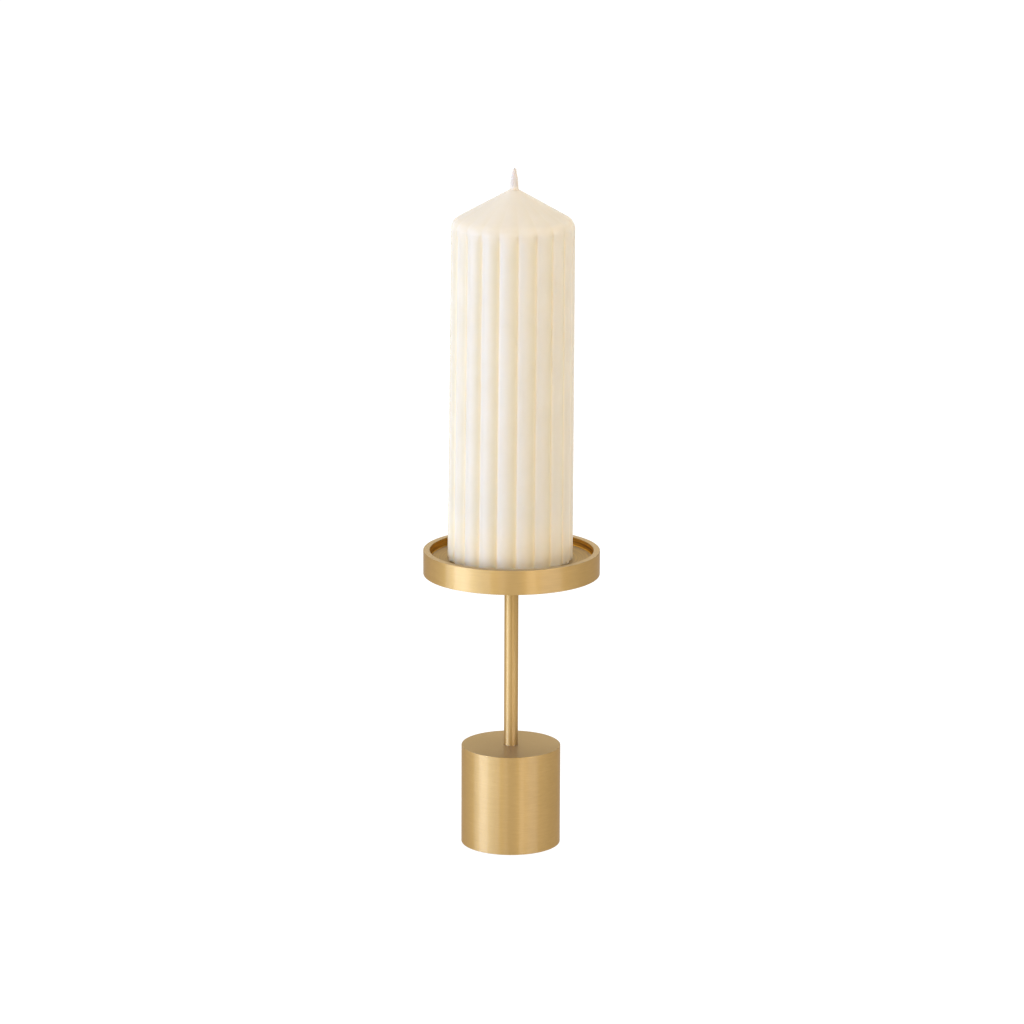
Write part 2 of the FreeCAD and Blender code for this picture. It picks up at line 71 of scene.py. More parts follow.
# sizes inside the turned brass pieces, which the boxes don't show
EDGE_BREAK = 0.4 * MM
RIM_EDGE = 0.35 * MM
RIM_WIDTH = 3.7 * MM
TRAY_CORNER = 0.9 * MM
FLOOR_THICKNESS = 3.5 * MM
BOSS_RADIUS = 9.0 * MM
SOCKET_RADIUS = STEM_RADIUS + 0.05 * MM
SOCKET_MOUTH = 0.3 * MM
STEM_CHAMFER = 0.3 * MM
TAPPED_RADIUS = 2.0 * MM
TAPPED_DEPTH = 16.0 * MM
CLEARANCE_RADIUS = 2.25 * MM
COUNTERSINK_RADIUS = 4.13 * MM
ACCESS_RADIUS = 7.0 * MM
WEB_THICKNESS = 8.0 * MM
PAD_GAP = 0.2 * MM
PAD_EDGE = 0.35 * MM
SEGMENTS = {"sustainer": 96, "stem": 96, "pad": 160, "base": 192, "dish": 256, "floor": 96}

# the candle's outline
FOOT = CANDLE_LOW.z
FOOT_RADIUS = 35.45 * MM
SHOULDER_RADIUS = 34.6 * MM
WALL_HEIGHT = 192.8 * MM
CONE_HEIGHT = 19.4 * MM
SHOULDER = FOOT + WALL_HEIGHT
APEX = SHOULDER + CONE_HEIGHT
SHOULDER_ROUND = 6.5 * MM
FOOT_ROUND = 0.6 * MM
NIB_BASE_RADIUS = 2.35 * MM
NIB_TIP_RADIUS = 0.92 * MM
NIB_FILLET = 1.2 * MM
NIB_TIP_ROUND = 0.2 * MM
NIB_BELLY_RADIUS = 2.10 * MM
NIB_BELLY_HEIGHT = 3.4 * MM
NIB_BELLY_ROUND = 8.0 * MM
NIB_NECK_RADIUS = 1.50 * MM
NIB_NECK_HEIGHT = 7.2 * MM
# the hollow in its foot that takes the sustainer
HOLLOW_RADIUS = TAB_RADIUS + 0.2 * MM
HOLLOW_TOP = TAB_LOW.z + 0.5 * MM
HOLLOW_NECK_RADIUS = WICK_RADIUS + 0.52 * MM
HOLLOW_NECK_TOP = HOLLOW_TOP + 6.0 * MM
# its ribs, with sharp grooves between them
RIB_COUNT = 20
RIB_PITCH = 2 * math.pi / RIB_COUNT
RIB_ROUND = 8.0 * MM
POINTS_PER_RIB = 24
LONGEST_STEP = 1.5 * MM
GROOVE_PHASE = math.radians(4.9)
GROOVE_BOTTOM_ROUND = 0.25 * MM
# across the foot's flat face the ribs fade towards the hollow, up to this far inside the foot's radius
FOOT_FACE_EDGE = 2.0 * MM
# the grooves start to run out below the shoulder, keep a little depth there, and end on the cone
RUN_OUT_LENGTH = 9.0 * MM
SHOULDER_KEPT = 0.35
CONE_FADE_END = 6.0 * MM
# it stands a little to the left of the axis and leans a little to the right, its nib most of all
FOOT_SHIFT = -0.86 * MM
LEAN = 0.0055
NIB_SHIFT = 0.45 * MM
# how far each change of the wax's colour reaches, and its factors on red, green and blue: painted
# light in the grooves and at the foot, a painted warm shade on the flank before each groove, and the
# nib's tint
GROOVE_WIDTH = 1.2 * MM
FLANK_WIDTH = 4.0 * MM
FLANK_EDGE = 0.5 * MM
FOOT_GLOW_HEIGHT = 36.0 * MM
NIB_BLEND = 2.0 * MM
# painted light that pales the grooves against the shade that falls in them
GROOVE_PAINTED_LIGHT = (1.23, 1.23, 1.22)
GROOVE_PAINTED_LIGHT_FADE = 2.5
# a painted warm shade on the flank before each groove, for light that comes through the wax
FLANK_PAINTED_SHADE = (1.01, 0.985, 0.85)
# painted light that brightens the foot against the shade of the dish
FOOT_PAINTED_LIGHT = (1.20, 1.15, 1.04)
NIB_TINT = (0.97, 0.97, 1.05)
# how deep light goes into the wax, and the share of that in the nib
LIGHT_DEPTH = 12.0 * MM
NIB_LIGHT_DEPTH = 0.15

# the wick and its sustainer
PLY_COUNT = 3
PLY_RADIUS = 0.55 * WICK_RADIUS
PLY_SIDES = 10
TWIST_LENGTH = 5.0 * MM
TWIST_STEP = 0.5 * MM
TAB_SHEET = 0.3 * MM
TAB_BORE = WICK_RADIUS + 0.02 * MM
TAB_BEND = 0.3 * MM
TAB_EDGE = 0.1 * MM

# the brass's brush marks, coarse and fine: (lines per metre, how short each mark is, share)
BRUSH_MARKS = ((1300.0, 4.0, 0.55), (6000.0, 9.0, 0.45))
# turns a mark's shortness round the axis into one per metre of a flat face
STRAIGHT_STRETCH = 30.0
# the turning rings in the tray
RING_LINES = 800.0
RING_DEPTH = 3.0
# a face is flat where its normal's height is above this
FLAT_FACE = 0.8

# the soft light: a sky with (azimuth, elevation, how narrow, how strong) glows, and softboxes with
# (azimuth, elevation, distance, width, height, radiance, colour); angles are in degrees
KEY_COLOUR = (0.71, 0.935, 1.47)
SKY_STRENGTH = 0.46
SKY_GLOWS = ((180, 45, 4.0, 0.86), (-100, 30, 3.0, 0.68))
SOFTBOXES = {
    "key": (-66, 8, 1.1, 0.47, 0.7, 3.6, KEY_COLOUR),
    "key_right": (-46, 10, 1.1, 0.30, 0.7, 0.8, KEY_COLOUR),
    "key_wide": (-60, 8, 1.1, 1.4, 0.7, 2.4, KEY_COLOUR),
    "front": (-20, 8, 1.1, 0.5, 0.7, 1.35, WHITE),
    "fill": (25, 8, 1.1, 0.26, 0.7, 2.75, WHITE),
    "side": (58, 8, 1.1, 1.6, 0.7, 0.45, WHITE),
    "upper_front": (0, 42, 1.4, 0.7, 0.6, 1.9, WHITE),
    "upper_side": (60, 42, 1.4, 0.7, 0.6, 5.6, WHITE),
    "top": (170, 75, 1.6, 1.4, 1.4, 1.25, WHITE),
}
FLOOR_RADII = (0.0, 1.0, 6.0, 40.0)
FLOOR_GLOW = 0.95

# a long lens from a little above, with a small tilt
LENS_MM = 165.389
SENSOR_MM = 36.0
CAMERA_PITCH = math.radians(13.43)
CAMERA_ROLL = math.radians(0.216)
CAMERA_DISTANCE = 2.6557
CAMERA_AIM = Vector((0.13 * MM, 0, 194.3 * MM))


# -------------------------------------------------------------------------------------- mesh tools

def rounded(corners, closed=True, step=math.radians(11)):
    """An outline of (radius, height) points from corners (radius, height, rounding).

    Each rounding is an arc, with a point at least every step of its angle.
    """
    points = []
    count = len(corners)
    for i, (r, z, rounding) in enumerate(corners):
        here = Vector((r, z))
        at_end = not closed and i in (0, count - 1)
        if rounding == 0 or at_end:
            points.append(here)
            continue
        before = (Vector(corners[i - 1][:2]) - here).normalized()
        after = (Vector(corners[(i + 1) % count][:2]) - here).normalized()
        inside = before.angle(after)
        reach = rounding / math.tan(inside / 2)
        centre = here + (before + after).normalized() * (rounding / math.sin(inside / 2))
        start = here + before * reach - centre
        end = here + after * reach - centre
        first = math.atan2(start.y, start.x)
        sweep = math.remainder(math.atan2(end.y, end.x) - first, 2 * math.pi)
        steps = max(2, math.ceil(abs(sweep) / step))
        for k in range(steps + 1):
            angle = first + sweep * k / steps
            points.append(centre + Vector((math.cos(angle), math.sin(angle))) * rounding)
    return points


def divided(points, longest, closed=False):
    """The same outline with points added, so that no stretch is longer than a length."""
    result = []
    pairs = list(zip(points, points[1:] + points[:1] if closed else points[1:]))
    for a, b in pairs:
        parts = max(1, math.ceil((b - a).length / longest))
        result += [a.lerp(b, k / parts) for k in range(parts)]
    if not closed:
        result.append(points[-1])
    return result


def piece_from(name, vertices, faces, material, body, sharp_angle=35.0, attributes=()):
    """A smooth-shaded mesh object that rides on a CAD body.

    attributes are (name, kind, field, values), with the values of all vertices in one flat list.
    """
    mesh = bpy.data.meshes.new(name)
    mesh.from_pydata([tuple(v) for v in vertices], [], faces)
    for attribute, kind, field, values in attributes:
        mesh.attributes.new(attribute, kind, "POINT").data.foreach_set(field, values)
    edit = bmesh.new()
    edit.from_mesh(mesh)
    bmesh.ops.remove_doubles(edit, verts=edit.verts, dist=1e-7)
    bmesh.ops.recalc_face_normals(edit, faces=edit.faces)
    edit.to_mesh(mesh)
    edit.free()
    mesh.shade_smooth()
    mesh.set_sharp_from_angle(angle=math.radians(sharp_angle))
    mesh.materials.append(material)
    made = bpy.data.objects.new(name, mesh)
    bpy.context.scene.collection.objects.link(made)
    normals = made.modifiers.new("weighted_normals", "WEIGHTED_NORMAL")
    normals.keep_sharp = True
    if body:
        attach(made, body)
    return made


def ring_faces(rings, closed_loop):
    """Faces between rings of vertex numbers; a ring of one vertex is a pole."""
    faces = []
    pairs = list(zip(rings, rings[1:] + rings[:1] if closed_loop else rings[1:]))
    for low, high in pairs:
        count = max(len(low), len(high))
        for i in range(count):
            j = (i + 1) % count
            if len(low) == 1:
                faces.append((low[0], high[j], high[i]))
            elif len(high) == 1:
                faces.append((low[i], low[j], high[0]))
            else:
                faces.append((low[i], low[j], high[j], high[i]))
    return faces


def lathe(name, points, segments, material, body, closed=True, inside=None):
    """A turned piece from an outline of (radius, height) points.

    inside(radius, height), where it is given, is written to the mesh as the attribute "inside".
    """
    vertices, rings, values = [], [], []
    angles = [2 * math.pi * i / segments for i in range(segments)]
    for r, z in points:
        first = len(vertices)
        if r < ON_AXIS:
            vertices.append((0.0, 0.0, z))
            rings.append([first])
        else:
            vertices += [(r * math.cos(a), r * math.sin(a), z) for a in angles]
            rings.append(list(range(first, first + segments)))
        if inside:
            values += [inside(r, z)] * (len(vertices) - first)
    attributes = [("inside", "FLOAT", "value", values)] if inside else []
    return piece_from(name, vertices, ring_faces(rings, closed), material, body, attributes=attributes)


# --------------------------------------------------------------------------------------- materials

class Nodes:
    """A material's or world's node tree with short ways to add and join nodes."""

    def __init__(self, owner):
        owner.use_nodes = True
        self.tree = owner.node_tree
        self.tree.nodes.clear()

    def add(self, kind, settings=None, **inputs):
        """Adds a node. settings are its own properties, inputs are values or sockets to link."""
        node = self.tree.nodes.new(kind)
        for key, value in (settings or {}).items():
            setattr(node, key, value)
        for key, value in inputs.items():
            self.join(node, key.replace("_", " "), value)
        return node

    def join(self, node, socket, value):
        """Sets one input of a node by its name or number, or links a socket to it."""
        target = node.inputs[socket]
        if isinstance(value, bpy.types.NodeSocket):
            self.tree.links.new(value, target)
        else:
            target.default_value = value

    def maths(self, operation, *values):
        node = self.add("ShaderNodeMath", {"operation": operation})
        for i, value in enumerate(values):
            self.join(node, i, value)
        return node.outputs[0]

    def vector(self, operation, *values, output=0):
        node = self.add("ShaderNodeVectorMath", {"operation": operation})
        for i, value in enumerate(values):
            self.join(node, i, value)
        return node.outputs[output]

    def scaled(self, vector, factor):
        """A vector or colour times a number."""
        node = self.add("ShaderNodeVectorMath", {"operation": "SCALE"}, Scale=factor)
        self.join(node, 0, vector)
        return node.outputs[0]

    def separate(self, vector, axis):
        return self.add("ShaderNodeSeparateXYZ", Vector=vector).outputs[axis]

    def attribute(self, name, output="Fac"):
        return self.add("ShaderNodeAttribute", {"attribute_name": name}).outputs[output]

    def noise(self, vector, scale, detail=2.0, roughness=0.5):
        settings = {"Scale": scale, "Detail": detail, "Roughness": roughness}
        return self.add("ShaderNodeTexNoise", Vector=vector, **settings).outputs["Fac"]

    def ramp(self, factor, stops):
        """A colour ramp through (position, colour) stops."""
        node = self.add("ShaderNodeValToRGB", Fac=factor)
        elements = node.color_ramp.elements
        while len(elements) < len(stops):
            elements.new(0.5)
        for element, (position, colour) in zip(elements, stops):
            element.position = position
            element.color = (*colour, 1.0)
        return node.outputs["Color"]

    def spread(self, factor, low, high):
        """Maps 0..1 to low..high."""
        return self.add("ShaderNodeMapRange", Value=factor, To_Min=low, To_Max=high).outputs[0]

    def surface(self, shader):
        self.add("ShaderNodeOutputMaterial", Surface=shader)


def new_material(name):
    material = bpy.data.materials.new(name)
    return material, Nodes(material)


def turned_coordinates(nodes):
    """(place, unit vector from the axis, distance along a turned surface).

    Brush marks run where the distance is constant.
    """
    place = nodes.add("ShaderNodeTexCoord").outputs["Object"]
    flat = nodes.vector("MULTIPLY", place, (1.0, 1.0, 0.0))
    outward = nodes.vector("NORMALIZE", flat)
    radius = nodes.vector("LENGTH", flat, output="Value")
    return place, outward, nodes.maths("ADD", radius, nodes.separate(place, "Z"))


def brush_lines(nodes, outward, across, lines_per_metre, streak):
    """The vector of a noise drawn out round the axis: streak sets how short each brush mark is."""
    along = nodes.vector("MULTIPLY", outward, (streak, streak, 0.0))
    count = nodes.maths("MULTIPLY", across, lines_per_metre)
    return nodes.vector("ADD", along, nodes.add("ShaderNodeCombineXYZ", Z=count).outputs[0])


def brush_noise(nodes, vector):
    return nodes.noise(vector, 1.0, detail=2.0, roughness=0.6)


def chosen(nodes, first, second, choice):
    """The first vector where choice is 0 and the second where it is 1."""
    part = nodes.vector("SUBTRACT", second, first)
    share = nodes.add("ShaderNodeCombineXYZ", X=choice, Y=choice, Z=choice).outputs[0]
    return nodes.vector("MULTIPLY_ADD", part, share, first)


def brass_marks(nodes, place, outward, across, on_face):
    """Brush marks of two sizes: round the axis on the walls and straight across on the flat faces."""
    total = 0.0
    for lines_per_metre, streak, share in BRUSH_MARKS:
        round_axis = brush_lines(nodes, outward, across, lines_per_metre, streak)
        straight = nodes.vector("MULTIPLY", place, (STRAIGHT_STRETCH * streak, lines_per_metre, 0.0))
        marks = brush_noise(nodes, chosen(nodes, round_axis, straight, on_face))
        total = nodes.maths("MULTIPLY_ADD", marks, share, total)
    return total


def brass_colour(nodes, tone, inside, rings, on_face):
    """Clean brass, ringed in the tray, with painted shade: deeper in colour in the tray, darker on the
    flat faces.
    """
    clean = nodes.ramp(tone, [
        (0.25, (0.40, 0.229, 0.038)),
        (0.5, (0.46, 0.268, 0.054)),
        (0.78, (0.53, 0.323, 0.086)),
    ])
    # painted shade in the tray: deeper in colour on its wall and darker on its floor
    tray_painted_shade = nodes.ramp(inside, [(0.0, WHITE), (0.5, (0.76, 0.70, 0.37)), (1.0, (1.30, 1.10, 0.46))])
    ring_depth = nodes.maths("MULTIPLY", nodes.maths("SUBTRACT", rings, 0.5), RING_DEPTH)
    ring_tone = nodes.maths("MULTIPLY_ADD", ring_depth, inside, 1.0)
    # painted shade that makes the flat faces a little darker
    flat_face_painted_shade = chosen(nodes, WHITE, (0.74, 0.80, 1.0), on_face)
    ringed = nodes.vector("MULTIPLY", clean, nodes.scaled(tray_painted_shade, ring_tone))
    return nodes.vector("MULTIPLY", ringed, flat_face_painted_shade)


def brass_material():
    """Satin brass under a clear lacquer."""
    material, nodes = new_material("brushed_brass")
    place, outward, across = turned_coordinates(nodes)
    normal = nodes.add("ShaderNodeTexCoord").outputs["Normal"]
    upright = nodes.maths("ABSOLUTE", nodes.separate(normal, "Z"))
    on_face = nodes.maths("GREATER_THAN", upright, FLAT_FACE)
    lines = brass_marks(nodes, place, outward, across, on_face)
    clouds = nodes.noise(place, 45.0, detail=3.0)
    tone = nodes.maths("MULTIPLY_ADD", clouds, 0.25, nodes.maths("MULTIPLY", lines, 0.75))
    inside = nodes.attribute("inside")
    rings = brush_noise(nodes, brush_lines(nodes, outward, across, RING_LINES, 1.0))
    bump = nodes.add("ShaderNodeBump", Strength=0.6, Distance=0.03 * MM, Height=lines)
    radial = nodes.add("ShaderNodeTangent", {"direction_type": "RADIAL", "axis": "Z"}).outputs[0]
    tangent = chosen(nodes, radial, (1.0, 0.0, 0.0), on_face)
    metal = nodes.add(
        "ShaderNodeBsdfPrincipled",
        Base_Color=brass_colour(nodes, tone, inside, rings, on_face),
        Metallic=1.0,
        Roughness=nodes.spread(tone, 0.42, 0.52),
        Anisotropic=0.75,
        Anisotropic_Rotation=0.25,
        Tangent=tangent,
        Specular_Tint=(0.62, 0.52, 0.40, 1.0),
        Coat_Weight=0.12,
        Coat_Roughness=0.4,
        Coat_IOR=1.5,
        Normal=bump.outputs[0],
    )
    lacquer = nodes.add(
        "ShaderNodeBsdfAnisotropic",
        Color=(*WHITE, 1.0),
        Roughness=0.38,
        Anisotropy=0.85,
        Rotation=0.0,
        Tangent=tangent,
        Normal=bump.outputs[0],
    )
    # less lacquer in the tray, which goes with its painted shade
    mixed = nodes.add("ShaderNodeMixShader", Fac=nodes.spread(inside, 0.11, 0.02))
    nodes.join(mixed, 1, metal.outputs[0])
    nodes.join(mixed, 2, lacquer.outputs[0])
    nodes.surface(mixed.outputs[0])
    return material


def wax_material():
    """Smooth ivory wax that lets light in, and is duller where it lets in less."""
    material, nodes = new_material("ivory_wax")
    place = nodes.add("ShaderNodeTexCoord").outputs["Object"]
    clouds = nodes.noise(place, 60.0, detail=4.0, roughness=0.6)
    body = nodes.ramp(clouds, [(0.3, (0.500, 0.430, 0.328)), (0.7, (0.522, 0.451, 0.350))])
    # the tint attribute carries painted light and shade: paler grooves and foot, and a warmer flank
    # before each groove
    colour = nodes.vector("MULTIPLY", body, nodes.attribute("tint", "Vector"))
    depth = nodes.attribute("light_depth")
    satin = nodes.spread(clouds, 0.42, 0.55)
    grain = nodes.noise(place, 900.0, detail=3.0)
    bump = nodes.add("ShaderNodeBump", Strength=0.15, Distance=0.05 * MM, Height=grain)
    shader = nodes.add(
        "ShaderNodeBsdfPrincipled",
        Base_Color=colour,
        Roughness=nodes.maths("MULTIPLY_ADD", nodes.maths("SUBTRACT", 1.0, depth), 0.5, satin),
        IOR=1.44,
        Subsurface_Weight=1.0,
        Subsurface_Radius=(1.0, 0.85, 0.7),
        Subsurface_Scale=nodes.maths("MULTIPLY", depth, LIGHT_DEPTH),
        Normal=bump.outputs[0],
    )
    nodes.surface(shader.outputs[0])
    return material


def cotton_material():
    """Twisted cotton, soaked in wax."""
    material, nodes = new_material("wick_cotton")
    place = nodes.add("ShaderNodeTexCoord").outputs["Object"]
    fibres = nodes.noise(nodes.vector("MULTIPLY", place, (9000.0, 9000.0, 1500.0)), 1.0, detail=3.0)
    colour = nodes.ramp(fibres, [(0.3, (0.66, 0.59, 0.52)), (0.7, (0.80, 0.74, 0.67))])
    bump = nodes.add("ShaderNodeBump", Strength=0.5, Distance=0.05 * MM, Height=fibres)
    shader = nodes.add(
        "ShaderNodeBsdfPrincipled",
        Base_Color=colour,
        Roughness=nodes.spread(fibres, 0.6, 0.8),
        Sheen_Weight=0.2,
        Normal=bump.outputs[0],
    )
    nodes.surface(shader.outputs[0])
    return material


def felt_material():
    """Pressed black felt."""
    material, nodes = new_material("felt")
    place = nodes.add("ShaderNodeTexCoord").outputs["Object"]
    fibres = nodes.noise(place, 1800.0, detail=5.0, roughness=0.7)
    tufts = nodes.noise(place, 260.0, detail=3.0)
    tone = nodes.maths("MULTIPLY_ADD", tufts, 0.4, nodes.maths("MULTIPLY", fibres, 0.6))
    colour = nodes.ramp(tone, [(0.3, (0.010, 0.010, 0.011)), (0.7, (0.035, 0.034, 0.034))])
    bump = nodes.add("ShaderNodeBump", Strength=0.7, Distance=0.2 * MM, Height=tone)
    shader = nodes.add(
        "ShaderNodeBsdfPrincipled",
        Base_Color=colour,
        Roughness=nodes.spread(fibres, 0.85, 1.0),
        Sheen_Weight=0.4,
        Normal=bump.outputs[0],
    )
    nodes.surface(shader.outputs[0])
    return material


def steel_material(name, dark, light, roughness):
    """Steel between a dark and a light tone, with fine turning marks."""
    material, nodes = new_material(name)
    place, outward, across = turned_coordinates(nodes)
    lines = brush_noise(nodes, brush_lines(nodes, outward, across, 9000.0, 3.0))
    clouds = nodes.noise(place, 300.0, detail=3.0)
    tone = nodes.maths("MULTIPLY_ADD", clouds, 0.4, nodes.maths("MULTIPLY", lines, 0.6))
    bump = nodes.add("ShaderNodeBump", Strength=0.2, Distance=0.02 * MM, Height=lines)
    shader = nodes.add(
        "ShaderNodeBsdfPrincipled",
        Base_Color=nodes.ramp(tone, [(0.3, dark), (0.7, light)]),
        Metallic=1.0,
        Roughness=nodes.spread(tone, roughness - 0.05, roughness + 0.07),
        Normal=bump.outputs[0],
    )
    nodes.surface(shader.outputs[0])
    return material


# ------------------------------------------------------------------------------------------ pieces

def make_base(brass):
    top, bottom = BASE_HIGH.z, BASE_LOW.z
    socket_floor = STEM_LOW.z
    web_bottom = socket_floor - WEB_THICKNESS
    recess = PAD_RADIUS + PAD_GAP
    outline = rounded([
        (CLEARANCE_RADIUS, web_bottom, 0),
        (CLEARANCE_RADIUS, socket_floor, 0),
        (SOCKET_RADIUS, socket_floor, 0),
        (SOCKET_RADIUS, top, SOCKET_MOUTH),
        (BASE_RADIUS, top, EDGE_BREAK),
        (BASE_RADIUS, bottom, EDGE_BREAK),
        (recess, bottom, 0),
        (recess, PAD_HIGH.z, 0),
        (ACCESS_RADIUS, PAD_HIGH.z, 0),
        (ACCESS_RADIUS, web_bottom, 0),
    ])
    base = lathe("base", outline, SEGMENTS["base"], brass, "holder")
    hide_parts("base_weight")


def make_stem(brass):
    low, high = STEM_LOW.z, STEM_HIGH.z
    outline = rounded([
        (0, low + TAPPED_DEPTH, 0),
        (TAPPED_RADIUS, low + TAPPED_DEPTH, 0),
        (TAPPED_RADIUS, low, 0),
        (STEM_RADIUS, low, STEM_CHAMFER),
        (STEM_RADIUS, high, STEM_CHAMFER),
        (TAPPED_RADIUS, high, 0),
        (TAPPED_RADIUS, high - TAPPED_DEPTH, 0),
        (0, high - TAPPED_DEPTH, 0),
    ], closed=False)
    stem = lathe("stem_rod", outline, SEGMENTS["stem"], brass, "holder", closed=False)
    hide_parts("stem")


def make_dish(brass):
    top, bottom = DISH_HIGH.z, DISH_LOW.z
    wall = DISH_RADIUS - RIM_WIDTH
    underside = TRAY_FLOOR - FLOOR_THICKNESS
    outline = rounded([
        (CLEARANCE_RADIUS, STEM_HIGH.z, 0),
        (SOCKET_RADIUS, STEM_HIGH.z, 0),
        (SOCKET_RADIUS, bottom, SOCKET_MOUTH),
        (BOSS_RADIUS, bottom, RIM_EDGE),
        (BOSS_RADIUS, underside, RIM_EDGE),
        (wall, underside, RIM_EDGE),
        (wall, bottom, RIM_EDGE),
        (DISH_RADIUS, bottom, RIM_EDGE),
        (DISH_RADIUS, top, RIM_EDGE),
        (wall, top, RIM_EDGE),
        (wall, TRAY_FLOOR, TRAY_CORNER),
        (COUNTERSINK_RADIUS, TRAY_FLOOR, 0),
        (CLEARANCE_RADIUS, TRAY_FLOOR - (COUNTERSINK_RADIUS - CLEARANCE_RADIUS), 0),
    ])

    def inside(r, z):
        """1 on the tray's inner wall, less on its floor, 0 elsewhere."""
        if r > wall + HAIR or z < TRAY_FLOOR - HAIR:
            return 0.0
        return 1.0 if r > wall - 0.5 * TRAY_CORNER else 0.5

    dish = lathe("dish_tray", outline, SEGMENTS["dish"], brass, "holder", inside=inside)
    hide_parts("dish")


def make_pad(felt):
    outline = rounded([
        (0, PAD_LOW.z, 0),
        (PAD_RADIUS, PAD_LOW.z, PAD_EDGE),
        (PAD_RADIUS, PAD_HIGH.z, PAD_EDGE),
        (0, PAD_HIGH.z, 0),
    ], closed=False)
    pad = lathe("pad", divided(outline, 1.0 * MM), SEGMENTS["pad"], felt, "holder", closed=False)
    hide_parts("felt_pad")


def smooth_step(x):
    """Rises smoothly from 0 at 0 to 1 at 1."""
    x = max(0.0, min(1.0, x))
    return x * x * (3 - 2 * x)


def leaned(x, y, z):
    """Where a point of an upright candle lies on this one."""
    to_nib = smooth_step((z - SHOULDER) / CONE_HEIGHT)
    return x + FOOT_SHIFT + LEAN * (z - FOOT) + NIB_SHIFT * to_nib, y, z


def from_groove(angle):
    """The angle from the nearest groove, below 0 on the side before it."""
    return math.remainder(angle - GROOVE_PHASE, RIB_PITCH)


def rib_share(angle):
    """The candle's radius at an angle, as a share of its radius over the ribs."""
    softened = math.hypot(from_groove(angle), GROOVE_BOTTOM_ROUND / FOOT_RADIUS)
    from_rib = RIB_PITCH / 2 - softened
    arc = RIB_ROUND / FOOT_RADIUS
    centre = 1 - arc
    return centre * math.cos(from_rib) + math.sqrt(arc ** 2 - (centre * math.sin(from_rib)) ** 2)


def rib_angles():
    """Angles round the candle, closer together near each groove."""
    angles = []
    for rib in range(RIB_COUNT):
        middle = GROOVE_PHASE + (rib + 0.5) * RIB_PITCH
        for k in range(POINTS_PER_RIB):
            angles.append(middle + RIB_PITCH / 2 * math.sin(math.pi * (k / POINTS_PER_RIB - 0.5)))
    return angles


def depth_kept(r, z):
    """How much of the ribs' depth is left at a place on the candle's outline."""
    if z < FOOT + HAIR and r < FOOT_RADIUS - FOOT_FACE_EDGE:
        return max(0.0, (r - HOLLOW_RADIUS) / (FOOT_RADIUS - HOLLOW_RADIUS))
    on_wall = smooth_step((SHOULDER - z) / RUN_OUT_LENGTH)
    on_cone = (r - CONE_FADE_END) / (SHOULDER_RADIUS - CONE_FADE_END)
    return (SHOULDER_KEPT + (1 - SHOULDER_KEPT) * on_wall) * max(0.0, min(1.0, on_cone))


def on_nib(r, z):
    """1 on the nib, 0 on the rest of the candle."""
    return smooth_step((z - APEX) / NIB_BLEND + 0.5) if r < 2 * NIB_BASE_RADIUS else 0.0


def tint_at(off_groove, r, z, kept):
    """The wax's colour factor: painted light that pales a groove and the foot, a painted warm shade on
    the flank before a groove, and the nib's tint.
    """
    groove = kept ** GROOVE_PAINTED_LIGHT_FADE * math.exp(-(off_groove / GROOVE_WIDTH) ** 2)
    flank_reach = FLANK_WIDTH if off_groove < 0 else FLANK_EDGE
    flank = kept * math.exp(-(off_groove / flank_reach) ** 2)
    glow = smooth_step(1 - (z - FOOT) / FOOT_GLOW_HEIGHT)
    nib = on_nib(r, z)
    tint = []
    for in_groove, on_flank, at_foot, of_nib in zip(GROOVE_PAINTED_LIGHT, FLANK_PAINTED_SHADE, FOOT_PAINTED_LIGHT, NIB_TINT):
        warm = (1 + groove * (in_groove - 1)) * (1 + flank * (on_flank - 1))
        tint.append(warm * (1 + glow * (at_foot - 1)) * (1 + nib * (of_nib - 1)))
    return tint


def candle_outline():
    """The candle's (radius, height) points, each with the share of the ribs' depth that it keeps."""
    hollow = [
        (0, HOLLOW_NECK_TOP),
        (HOLLOW_NECK_RADIUS, HOLLOW_NECK_TOP),
        (HOLLOW_NECK_RADIUS, HOLLOW_TOP),
        (HOLLOW_RADIUS, HOLLOW_TOP),
        (HOLLOW_RADIUS, FOOT),
    ]
    slope = CONE_HEIGHT / SHOULDER_RADIUS
    outside = rounded([
        (HOLLOW_RADIUS, FOOT, 0),
        (FOOT_RADIUS, FOOT, FOOT_ROUND),
        (SHOULDER_RADIUS, SHOULDER, SHOULDER_ROUND),
        (NIB_BASE_RADIUS, APEX - slope * NIB_BASE_RADIUS, NIB_FILLET),
        (NIB_BELLY_RADIUS, APEX + NIB_BELLY_HEIGHT, NIB_BELLY_ROUND),
        (NIB_NECK_RADIUS, APEX + NIB_NECK_HEIGHT, NIB_BELLY_ROUND),
        (NIB_TIP_RADIUS, CANDLE_HIGH.z, NIB_TIP_ROUND),
        (0, CANDLE_HIGH.z, 0),
    ], closed=False, step=math.radians(6))
    outline = [(Vector(point), 0.0) for point in hollow]
    return outline + [(point, depth_kept(*point)) for point in divided(outside, LONGEST_STEP)]


def make_candle(wax):
    angles = rib_angles()
    shares = [rib_share(a) for a in angles]
    vertices, rings, tints, depths = [], [], [], []
    for (radius, z), kept in candle_outline():
        first = len(vertices)
        light_depth = 1 + on_nib(radius, z) * (NIB_LIGHT_DEPTH - 1)
        if radius < ON_AXIS:
            vertices.append(leaned(0.0, 0.0, z))
            tints += tint_at(RIB_PITCH, 0.0, z, 0.0)
            depths.append(light_depth)
            rings.append([first])
            continue
        for angle, share in zip(angles, shares):
            r = radius * (1 - kept * (1 - share))
            vertices.append(leaned(r * math.cos(angle), r * math.sin(angle), z))
            tints += tint_at(from_groove(angle) * radius, radius, z, kept)
            depths.append(light_depth)
        rings.append(list(range(first, len(vertices))))
    attributes = [("tint", "FLOAT_VECTOR", "vector", tints), ("light_depth", "FLOAT", "value", depths)]
    candle = piece_from("candle", vertices, ring_faces(rings, False), wax, "candle", sharp_angle=60.0,
                        attributes=attributes)
    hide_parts("candle_body")


